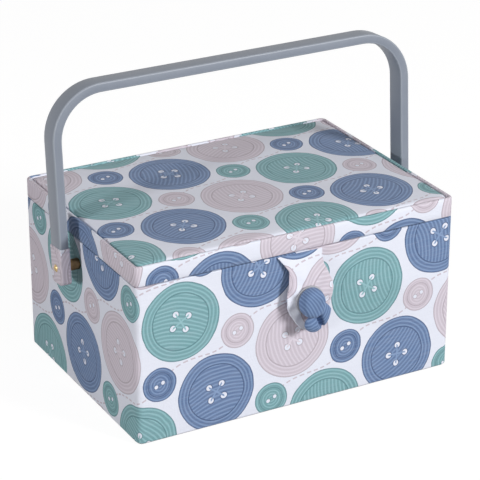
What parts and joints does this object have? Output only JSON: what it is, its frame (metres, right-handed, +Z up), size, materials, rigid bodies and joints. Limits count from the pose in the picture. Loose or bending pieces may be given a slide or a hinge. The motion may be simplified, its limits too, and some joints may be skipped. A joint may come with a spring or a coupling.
{
  "type": "sewing box",
  "caption": "Cloth-covered rectangular sewing box with a padded hinged lid, a grey bail handle, a cloth closure over a covered button, and a lift-out compartment tray inside.",
  "frame": {"origin": "middle of the underside of the box, on the surface that it stands on", "axes": "+Z up, +X along the long side to the right as seen from the front, -Y towards the front with the closure"},
  "size_m": [0.2982, 0.2126, 0.2381],
  "materials": {
    "greyboard": "pressed board, matt",
    "printed_cloth": "woven cotton, printed",
    "base_paper": "backing cloth, matt",
    "lining_cloth": "plain woven cotton",
    "cushion_cloth": "plain woven cotton",
    "button_cloth": "printed cotton stretched over a button",
    "button_metal": "pressed sheet",
    "thread": "wound thread",
    "wadding": "soft foam",
    "brass": "satin",
    "handle_plastic": "satin moulded plastic",
    "tray_plastic": "moulded plastic, semi-gloss"
  },
  "bodies": {
    "box": {"front_board": "greyboard", "back_board": "greyboard", "left_board": "greyboard", "right_board": "greyboard", "base_board": "greyboard", "body_cover": "printed_cloth", "base_cover": "base_paper", "body_lining": "lining_cloth", "tray_rail_left": "lining_cloth", "tray_rail_right": "lining_cloth", "hinge_leaf_body_left": "brass", "hinge_leaf_body_right": "brass", "hinge_pin_left": "brass", "hinge_pin_right": "brass", "hinge_screws_body": "brass", "rivet_left": "brass", "rivet_right": "brass", "spacer_left": "brass", "spacer_right": "brass", "rivet_washer_left": "brass", "rivet_washer_right": "brass", "button_shell": "button_cloth", "button_back": "button_metal", "button_shank": "thread"},
    "lid": {"lid_skirt_frame": "greyboard", "lid_skirt_cover": "printed_cloth", "lid_panel_board": "greyboard", "lid_pad": "wadding", "lid_top_cover": "printed_cloth", "lid_lining": "lining_cloth", "pincushion": "cushion_cloth", "lid_pocket": "lining_cloth", "pocket_elastic": "cushion_cloth", "hinge_leaf_lid_left": "brass", "hinge_leaf_lid_right": "brass", "hinge_screws_lid": "brass"},
    "handle": {"handle_bow": "handle_plastic", "handle_sleeve_left": "printed_cloth", "handle_sleeve_right": "printed_cloth"},
    "closure": {"closure_loop": "printed_cloth"},
    "tray": {"storage_tray": "tray_plastic"}
  },
  "joints": [
    {"name": "lid_hinge", "type": "hinge", "parent": "box", "child": "lid", "pos_m": [0, 0.0959, 0.1228], "axis": [-1, 0, 0], "range_deg": [0, 100]},
    {"name": "handle_swing", "type": "hinge", "parent": "box", "child": "handle", "pos_m": [0, 0, 0.1045], "axis": [-1, 0, 0], "range_deg": [0, 100]},
    {"name": "closure_lift", "type": "hinge", "parent": "lid", "child": "closure", "pos_m": [0, -0.0937, 0.1229], "axis": [-1, 0, 0], "range_deg": [0, 110], "deforming": ["closure_loop"]},
    {"name": "tray_lift", "type": "slide", "parent": "box", "child": "tray", "axis": [0, 0, 1], "range_m": [0, 0.01]}
  ],
  "couplings": [
    {"joint": "handle_swing", "follows": "lid_hinge", "ratio": 1}
  ]
}
